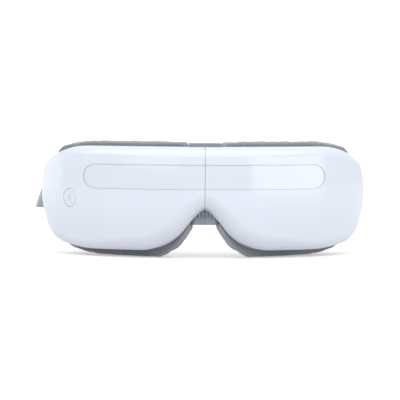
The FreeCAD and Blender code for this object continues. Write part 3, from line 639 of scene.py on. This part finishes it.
def pad_stitches(side, line, where):
    """A row of short thread stitches along a closed line of the pad's face."""
    closed = np.vstack([line, line[:1]])
    path = resample(closed, STITCH_STEP)
    groups = []
    for a, b in zip(path, path[1:]):
        ahead = (b - a) / np.linalg.norm(b - a)
        middle = (a + b) / 2
        dots = []
        for t, lift in ((-0.5, -0.35), (-0.3, 0.0), (0.0, 0.12), (0.3, 0.0), (0.5, -0.35)):
            spot = middle + ahead * t * STITCH_LONG
            dots.append(pod(side, spot[0], STITCH_Y[where] + lift, spot[1]))
        groups.append(skin(tube(dots, STITCH_RADIUS, 6), caps=True))
    points, faces = joined(groups)
    thread = mesh_object(f"{SIDES[side]}_pad_thread_{where}", points, faces, "pad_leather", "thread")
    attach(thread, SIDES[side] + "_half")


# ---------------------------------------------------------------- massage plates and air bladders
def stadium(centre, half_long, half_high, count=120):
    """Points round an obround, evenly spaced, as pod (x, z)."""
    straight = half_long - half_high
    points = []
    for a in np.linspace(0, 2 * math.pi, 720, endpoint=False):
        shift = straight if math.cos(a) >= 0 else -straight
        points.append((centre[0] + shift + half_high * math.cos(a), centre[1] + half_high * math.sin(a)))
    points.append(points[0])
    return resample(points, 2 * (math.pi * half_high + 2 * straight) / count)[:-1]


def pod_box(side, node):
    """Pod x, y, z limits of a CAD node."""
    spots = [in_pod(np.array(v.co) / MM * np.array([side, 1, 1])) for v in NODES[node].data.vertices]
    return np.min(spots, axis=0), np.max(spots, axis=0)


def obround(side, node):
    """Centre, half length, half height and pod y limits of an obround CAD node."""
    low, high = pod_box(side, node)
    centre = ((low[0] + high[0]) / 2, (low[2] + high[2]) / 2)
    return centre, (high[0] - low[0]) / 2, (high[2] - low[2]) / 2, low[1], high[1]


def obround_skin(side, centre, half_long, half_high, profile):
    """A closed form of obround rings, from (inset, pod y) pairs."""
    rings = []
    for inset, y in profile:
        outline = stadium(centre, half_long - inset, half_high - inset)
        rings.append([pod(side, x, y, z) for x, z in outline])
    count = min(len(ring) for ring in rings)
    rings = [[ring[int(i * len(ring) / count)] for i in range(count)] for ring in rings]
    return skin(rings, caps=True)


NUB_COLUMNS, NUB_ROWS, NUB_PITCH = 5, 3, 7.2
PLATE_THICK = 2.2  # from the plate's back to its face


def dome(side, x, z, profile, sides=20):
    """A turned form about a pod y line, from (radius, y) pairs that end on the axis."""
    rings = []
    for radius, y in profile:
        rings.append([pod(side, x + radius * math.cos(a), y, z + radius * math.sin(a))
                      for a in np.linspace(0, 2 * math.pi, sides, endpoint=False)])
    points, faces = skin(rings)
    points.append(pod(side, x, profile[-1][1] + 0.02, z))
    last = (len(rings) - 1) * sides
    faces += [(last + k, last + (k + 1) % sides, len(points) - 1) for k in range(sides)]
    return points, faces


def massage_plate(side):
    """Silicone plate with a raised lip and rows of soft nubs."""
    centre, half_long, half_high, rear, top = obround(side, SIDES[side] + "_massage_cup")
    face = rear + PLATE_THICK
    lip = [(0.6, rear), (0.1, rear + 0.5), (0.0, face - 0.4), (0.0, face + 0.7), (0.35, face + 1.15),
           (1.0, face + 1.2), (1.7, face + 0.85), (2.3, face + 0.15), (3.2, face - 0.05), (6.0, face - 0.1),
           (10.0, face - 0.05)]
    nub = [(3.1, face - 0.35), (2.6, face - 0.05), (2.3, face + 0.3), (2.15, face + 0.8), (2.0, top - 1.3),
           (1.6, top - 0.6), (0.9, top - 0.15)]
    groups = [obround_skin(side, centre, half_long, half_high, lip)]
    for column in range(NUB_COLUMNS):
        x = centre[0] + (column - (NUB_COLUMNS - 1) // 2) * NUB_PITCH
        for row in range(NUB_ROWS):
            z = centre[1] + (row - (NUB_ROWS - 1) // 2) * NUB_PITCH
            groups.append(dome(side, x, z, nub))
    points, faces = joined(groups)
    plate = mesh_object(SIDES[side] + "_massage_plate", points, faces, "massage_rubber")
    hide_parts(SIDES[side] + "_massage_cup")
    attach(plate, SIDES[side] + "_massage")


def air_bladder(side):
    """Welded film cushion: crowned faces and a flat seam round its middle."""
    centre, half_long, half_high, rear, top = obround(side, SIDES[side] + "_air_bladder")
    middle = (rear + top) / 2
    crown = [(9.0, 0.05), (5.0, 0.3), (2.6, 1.2), (1.4, 2.6)]  # inset and depth from the face
    seam = [(1.0, 0.3), (0.1, 0.25)]  # inset and distance from the middle
    profile = [(inset, rear + depth) for inset, depth in crown]
    profile += [(inset, middle - off) for inset, off in seam]
    profile += [(inset, middle + off) for inset, off in seam[::-1]]
    profile += [(inset, top - depth) for inset, depth in crown[::-1]]
    points, faces = obround_skin(side, centre, half_long, half_high, profile)
    bag = mesh_object(SIDES[side] + "_bladder_bag", points, faces, "bladder_film")
    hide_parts(SIDES[side] + "_air_bladder")
    start = pod(side, centre[0], middle, centre[1]) * MM
    end = pod(side, centre[0], top, centre[1]) * MM
    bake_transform(bag)


# ---------------------------------------------------------------- pleated nose bridge
PLEATS = 8  # across the whole curtain
PLEAT_GAPS = (0.05, 0.15)  # left free in front of the pleats and behind them
HEM, TOP_HEM = 1.7, 2.4  # heights of the flat bands along the lower and the upper edge
HEM_ARCH = 2.34  # how much higher the lower band reaches in the middle
HEM_DEPTH, HEM_STEP = 0.75, 0.12  # the bands' share of the way to the front, and the lower band's step
SHEET_HALF = 0.2  # half thickness of the cloth
# The lower corners of the curtain are drawn in and back to the pads' inner walls, fading out above the hem
TUCK_HEIGHT, TUCK_IN, TUCK_BACK, TUCK_START = 10.0, 0.2, 4.5, 0.7
COLUMNS, HEM_ROWS, PLEAT_ROWS = 81, 6, 60


def pleat_depths(low, high):
    """Middle plane and half depth of the pleats."""
    front, back = low[1] + PLEAT_GAPS[0], high[1] - PLEAT_GAPS[1]
    return (front + back) / 2, (back - front) / 2


def curtain_point(x, z, low, high):
    """Place of a point of the curtain's right half: pleated between flat bands, tucked in at the foot."""
    half = high[0]
    middle, swing = pleat_depths(low, high)
    arch = low[2] + HEM + HEM_ARCH * (1 - (x / half) ** 2)
    above, below = (z - arch + 1.2) / 2.4, (high[2] - TOP_HEM - z) / 1.6
    pleated = eased(min(1.0, max(0.0, above), max(0.0, below)))
    wave = math.cos(math.pi * x * PLEATS / half)
    sharp = math.copysign(abs(wave) ** 0.7, wave)
    y = middle - swing * (1 - pleated) * HEM_DEPTH + swing * pleated * sharp
    if z < low[2] + HEM:
        y -= HEM_STEP
    tuck = 1 - eased(min(1.0, (z - low[2]) / TUCK_HEIGHT))
    y += tuck * TUCK_BACK * max(0.0, x / half - TUCK_START) ** 2 / (1 - TUCK_START) ** 2
    return x * (1 - TUCK_IN * tuck), y


def two_sheets(wide, tall):
    """Faces of two equal grids of points and of the strips that close their edges."""
    size = wide * tall
    faces = []
    for sheet in range(2):
        for i in range(tall - 1):
            for k in range(wide - 1):
                a = sheet * size + i * wide + k
                faces.append((a, a + 1, a + wide + 1, a + wide))
    for first in (0, wide - 1):
        line = range(first, size, wide)
        faces += [(a, b, b + size, a + size) for a, b in zip(line, line[1:])]
    for first in (0, size - wide):
        line = range(first, first + wide)
        faces += [(a, b, b + size, a + size) for a, b in zip(line, line[1:])]
    return faces


def bellows(side):
    """One half of the pleated curtain, from the middle plane to the pod, with its bands."""
    low, high = box_mm("nose_bridge_bellows")
    foot = low[2] + HEM
    pleat_rows = np.linspace(foot + 0.4, high[2], PLEAT_ROWS)
    heights = np.concatenate([np.linspace(low[2], foot, HEM_ROWS), pleat_rows])
    columns = np.linspace(0, high[0], COLUMNS)
    points = []
    for offset in (-SHEET_HALF, SHEET_HALF):
        for z in heights:
            for column in columns:
                x, y = curtain_point(column, z, low, high)
                points.append((side * x, y + offset, z))
    faces = two_sheets(len(columns), len(heights))
    cloth = mesh_object(SIDES[side] + "_nose_bellows", points, faces, "bellows_grey")
    if side == 1:
        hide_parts("nose_bridge_bellows")
    middle = pleat_depths(low, high)[0] * MM
    start, end = (0, middle, 0.03), (side * high[0] * MM, middle, 0.03)
    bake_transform(cloth)
    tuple(start)
    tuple(end)


# ---------------------------------------------------------------- lines across the hinge
CROSSING_HALF, CROSSING_RADIUS = 18.7, 0.8  # straight half run of both lines and radius of the hose
CROSSING_BEND = 17.0  # x at the end of a span of both lines that starts at the middle plane
CONNECTOR_HALF = 2.1  # half thickness of the connector's block
INLET_RUN = 5.0  # straight end of the hose in front of the connector
FLEX_DIP_X = 27.0
FLEX_HALF = 0.12  # half thickness of the flat cable


def crossing_hose(side):
    """Half of the air hose, from the middle plane to the connector in front of the well."""
    low, high = box_mm("crossing_hose")
    z, radius = (low[2] + high[2]) / 2, (high[2] - low[2]) / 2
    connector = pod_box(1, "air_tee")[0]
    inlet = [pod(1, connector[0] - run, connector[1] + CONNECTOR_HALF, z) for run in (INLET_RUN, 0.0)]
    deep = high[1] - radius
    right = [(0, deep, z), (CROSSING_HALF, deep, z)] + inlet
    path = smooth_path([np.array(point) * (side, 1, 1) for point in right], 0.8)
    points, faces = skin(tube(path, radius, 14), caps=True)
    hose = mesh_object(SIDES[side] + "_hose_run", points, faces, "hose_silicone")
    if side == 1:
        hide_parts("crossing_hose")
    start, end = (0, deep * MM, z * MM), (side * CROSSING_BEND * MM, deep * MM, z * MM)
    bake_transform(hose)
    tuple(start)
    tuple(end)


def flex_cable(side):
    """Half of the flat cable, which runs level across the middle beside the hose."""
    low, high = box_mm("flex_cable")
    deep = box_mm("crossing_hose")[1][1] - CROSSING_RADIUS
    bends = ((0, deep), (CROSSING_HALF, deep), (FLEX_DIP_X, low[1] + 0.2), (high[0], high[1] - 0.2))
    rings = []
    for x, y in smooth_path(bends, 0.8):
        corners = ((-FLEX_HALF, low[2]), (FLEX_HALF, low[2]), (FLEX_HALF, high[2]), (-FLEX_HALF, high[2]))
        rings.append([(side * x, y + shift, z) for shift, z in corners])
    points, faces = skin(rings, caps=True)
    strip = mesh_object(SIDES[side] + "_flex_run", points, faces, "flex_film")
    if side == 1:
        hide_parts("flex_cable")
    start, end = (0, deep * MM, 0.05), (side * CROSSING_BEND * MM, deep * MM, 0.05)
    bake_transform(strip)
    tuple(start)
    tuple(end)


# ---------------------------------------------------------------- head strap
STRAP_THICK = 1.5
STRAP_INSET = 0.9  # from the CAD strap's outer face to the middle of the band
WRAP_RADIUS = 2.45  # from the bar's axis to the middle of the band round it
SEWN_GAP = 1.75  # from the outer run to the short inner run that is sewn to it
SEWN_END, SEWN_START = 18.0, 13.0  # distances of the inner run's ends behind the bar
LEAN = {1: 0.0, -1: 0.34}  # how far the band leans out at its lower edge, as a slope
LEAN_START, LEAN_GROWTH = 4.0, 16.0  # where the lean starts behind the bar, and over what depth it grows
LEAN_STOP, LEAN_FADE = 62.0, 40.0  # where it has gone again, and over what depth it fades
BULGE = {1: 0.0, -1: 4.2}  # how far the slack band bows out behind the temple
BULGE_START, BULGE_LENGTH = 4.0, 70.0


def webbing(name, path, low, high, tilt):
    """A flat strap on edge along a path of (x, y) points, with rounded edges and a UV map in millimetres."""
    path = np.array(path)
    profile = []
    half = (high - low) / 2
    for t in np.linspace(-1, 1, 13):
        profile.append((0.5 * STRAP_THICK * (1 - 0.55 * abs(t) ** 8), t * half))
    profile = profile + [(-a, b) for a, b in profile[::-1]]
    middle = (high + low) / 2
    rings, along = [], [0.0]
    for i, point in enumerate(path):
        ahead = path[min(i + 1, len(path) - 1)] - path[max(i - 1, 0)]
        ahead /= np.linalg.norm(ahead)
        side = np.array([ahead[1], -ahead[0]])
        if i:
            along.append(along[-1] + float(np.linalg.norm(path[i] - path[i - 1])))
        lean = tilt(i)
        ring = []
        for out, up in profile:
            spot = point + side * (out + lean * up)
            ring.append((spot[0], spot[1], middle + up))
        rings.append(ring)
    points, faces = skin(rings, caps=True)
    obj = mesh_object(name, points, faces, "strap_webbing")
    layer = obj.data.uv_layers.new(name="strap_mm")
    count = len(profile)
    for loop in obj.data.loops:
        ring, spot = divmod(loop.vertex_index, count)
        layer.data[loop.index].uv = (along[ring], profile[spot][1])
    return obj


def strap_line(side):
    """Path of one side of the strap: from its sewn inner end, round the bar, to the straight back part."""
    low, high = box_mm("right_strap_bar")
    bar = (low + high)[:2] / 2
    back_low, back_high = box_mm("head_strap_back")
    back_y, straight = (back_low[1] + back_high[1]) / 2, back_high[0]
    side_x = box_mm("right_head_strap")[1][0] - STRAP_INSET
    reach = WRAP_RADIUS
    turn = side_x - straight
    corner = (side_x - turn, back_y - turn)
    bend = [(corner[0] + turn * math.cos(a), corner[1] + turn * math.sin(a))
            for a in np.linspace(0, math.pi / 2, 40)]
    bend[-1] = (straight, back_y)
    round_bar = [(bar[0] + reach * math.cos(a), bar[1] + reach * math.sin(a))
                 for a in np.linspace(math.pi, 2 * math.pi, 20)]
    sewn_x = side_x - SEWN_GAP
    sewn = [(sewn_x, bar[1] + SEWN_END), (sewn_x, bar[1] + SEWN_START), (bar[0] - 0.6, bar[1] + 7),
            (bar[0] - reach, bar[1] + 2.5)]
    lead = list(smooth_path(sewn + [round_bar[0]], 1.0, 2))
    outer = [round_bar[-1], (bar[0] + reach + 0.2, bar[1] + 6), (side_x, bar[1] + 20), bend[0]]
    rise = smooth_path(outer, 1.0, 3)
    whole = lead[:-1] + list(round_bar[:-1]) + list(rise) + bend[1:]
    path = resample(np.array(whole), 1.0)
    for point in path:
        behind = (point[1] - bar[1] - BULGE_START) / BULGE_LENGTH
        if 0 < behind < 1:
            point[0] += BULGE[side] * math.sin(math.pi * behind ** 0.6) ** 2
    return path * np.array([side, 1]), bar


def head_strap(side):
    """One side of the strap, from its sewn end round the bar and back to the straight part."""
    low, high = box_mm("head_strap_back")
    path, bar = strap_line(side)
    turn_at = int(np.argmin(path[:, 1]))  # the foremost point, where the inner run becomes the outer one

    def tilt(i):
        """The band leans out at its lower edge behind the temple and stands upright again at the back."""
        depth = path[i][1] - bar[1]
        grow = min(1.0, max(0.0, (depth - LEAN_START) / LEAN_GROWTH))
        fade = min(1.0, max(0.0, (LEAN_STOP - depth) / LEAN_FADE))
        lean = LEAN[side] * eased(grow) * eased(fade)
        return -lean * side * (1 if i > turn_at else -1)

    strap = webbing(SIDES[side] + "_strap_band", path, low[2], high[2], tilt)
    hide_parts(SIDES[side] + "_head_strap")
    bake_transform(strap)


def strap_back():
    """The straight part of the strap behind the head, where the buckle slides."""
    low, high = box_mm("head_strap_back")
    y = (low[1] + high[1]) / 2
    path = [(x, y) for x in np.linspace(low[0], high[0], 73)]
    band = webbing("strap_back_band", path, low[2], high[2], lambda i: 0.0)
    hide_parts("head_strap_back")
    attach(band, "hinge_core")


# ---------------------------------------------------------------- stage, light and camera
# Azimuth from the front towards +X and elevation in degrees; distance, width and height in metres; radiance
SOFTBOXES = {
    "overhead": (0, 66, 0.95, 2.0, 0.6, 2.1),
    "high_front": (0, 28, 1.3, 2.2, 0.5, 1.3),
    "right_strip": (57, 5, 1.35, 1.3, 0.5, 1.4),
    "left_strip": (-33, 11, 1.4, 0.85, 0.25, 0.6),
    "left_end": (-115, 8, 1.2, 0.6, 0.4, 0.8),
    "left_top": (-68, 42, 1.2, 0.9, 0.6, 1.3),
    "right_top": (75, 42, 1.2, 0.7, 0.5, 1.0),
}
FLOOR_REACH = 8.0  # metres from the middle to each side
WORLD_STRENGTH = 1.03
CAMERA = {"distance": 1.2, "elevation": 2.5, "azimuth": -1.0, "lens": 178.5, "roll": 0.25, "shift": -0.005}
CAMERA_TARGET = (-2.5, FRONT_Y + 30, 35.3)


def softbox(name, azimuth, elevation, distance, width, height, radiance):
    """A rectangular lamp that faces the object."""
    turn, rise = math.radians(azimuth), math.radians(elevation)
    target = Vector((0, -0.05, 0.04))
    out = Vector((math.sin(turn) * math.cos(rise), -math.cos(turn) * math.cos(rise), math.sin(rise)))
    data = bpy.data.lights.new(name, "AREA")
    data.shape = "RECTANGLE"
    data.size, data.size_y = width, height
    data.energy = radiance * math.pi * width * height
    lamp = bpy.data.objects.new(name, data)
    lamp.location = target + out * distance
    lamp.rotation_euler = out.to_track_quat("Z", "Y").to_euler()
    bpy.context.scene.collection.objects.link(lamp)


def studio():
    """Pale floor, white surroundings and soft lamps."""
    world = bpy.data.worlds.new("studio")
    bpy.context.scene.world = world
    world.use_nodes = True
    background = world.node_tree.nodes["Background"]
    background.inputs["Color"].default_value = (1, 1, 1, 1)
    background.inputs["Strength"].default_value = WORLD_STRENGTH
    mesh = bpy.data.meshes.new("floor")
    corners = [(x * FLOOR_REACH, y * FLOOR_REACH, 0) for x, y in ((-1, -1), (1, -1), (1, 1), (-1, 1))]
    mesh.from_pydata(corners, [], [(0, 1, 2, 3)])
    floor = bpy.data.objects.new("floor", mesh)
    bpy.context.scene.collection.objects.link(floor)
    mesh.materials.append(floor_paint())
    for name, values in SOFTBOXES.items():
        softbox(name, *values)


def floor_paint():
    """Matte white paper that glows, less near the middle, as a painted shadow pool under the object, and more
    further out, so that it runs into the white surroundings.
    """
    paint = new_material("floor_paint", (0.55, 0.55, 0.55), 0.9)
    shader = shader_of(paint)
    shader.inputs["Emission Color"].default_value = (1, 1, 1, 1)
    where = add(paint, "ShaderNodeTexCoord")
    distance = add(paint, "ShaderNodeVectorMath", operation="LENGTH")
    link(paint, where.outputs["Object"], distance.inputs[0])
    # painted shadow pool: the glow is weaker within 0.12 m of the middle and rises to full beyond 0.75 m
    glow = add(paint, "ShaderNodeMapRange", interpolation_type="SMOOTHSTEP")
    for key, value in (("From Min", 0.12), ("From Max", 0.75), ("To Min", 0.36), ("To Max", 0.72)):
        glow.inputs[key].default_value = value
    link(paint, distance.outputs["Value"], glow.inputs["Value"])
    link(paint, glow.outputs["Result"], shader.inputs["Emission Strength"])
    return paint


def camera():
    """The view from the front, a little above and to the left, through a long lens."""
    data = bpy.data.cameras.new("camera")
    data.lens = CAMERA["lens"]
    data.sensor_width = 36
    data.clip_start, data.clip_end = 0.05, 30
    data.shift_y = CAMERA["shift"]
    obj = bpy.data.objects.new("camera", data)
    a, e = math.radians(CAMERA["azimuth"]), math.radians(CAMERA["elevation"])
    target = Vector(CAMERA_TARGET) * MM
    back = Vector((math.sin(a) * math.cos(e), -math.cos(a) * math.cos(e), math.sin(e)))
    obj.location = target + back * CAMERA["distance"]
    look = (-back).to_track_quat("-Z", "Y")
    obj.rotation_euler = look.to_euler()
    obj.rotation_euler.rotate_axis("Z", math.radians(CAMERA["roll"]))
    bpy.context.scene.collection.objects.link(obj)
    bpy.context.scene.camera = obj


# ---------------------------------------------------------------- the scene
dress_frame()
for one_side in (1, -1):
    face_pad(one_side)
    massage_plate(one_side)
    air_bladder(one_side)
    bellows(one_side)
    crossing_hose(one_side)
    flex_cable(one_side)
    head_strap(one_side)
strap_back()
studio()
camera()
bpy.context.scene.view_settings.view_transform = "Standard"
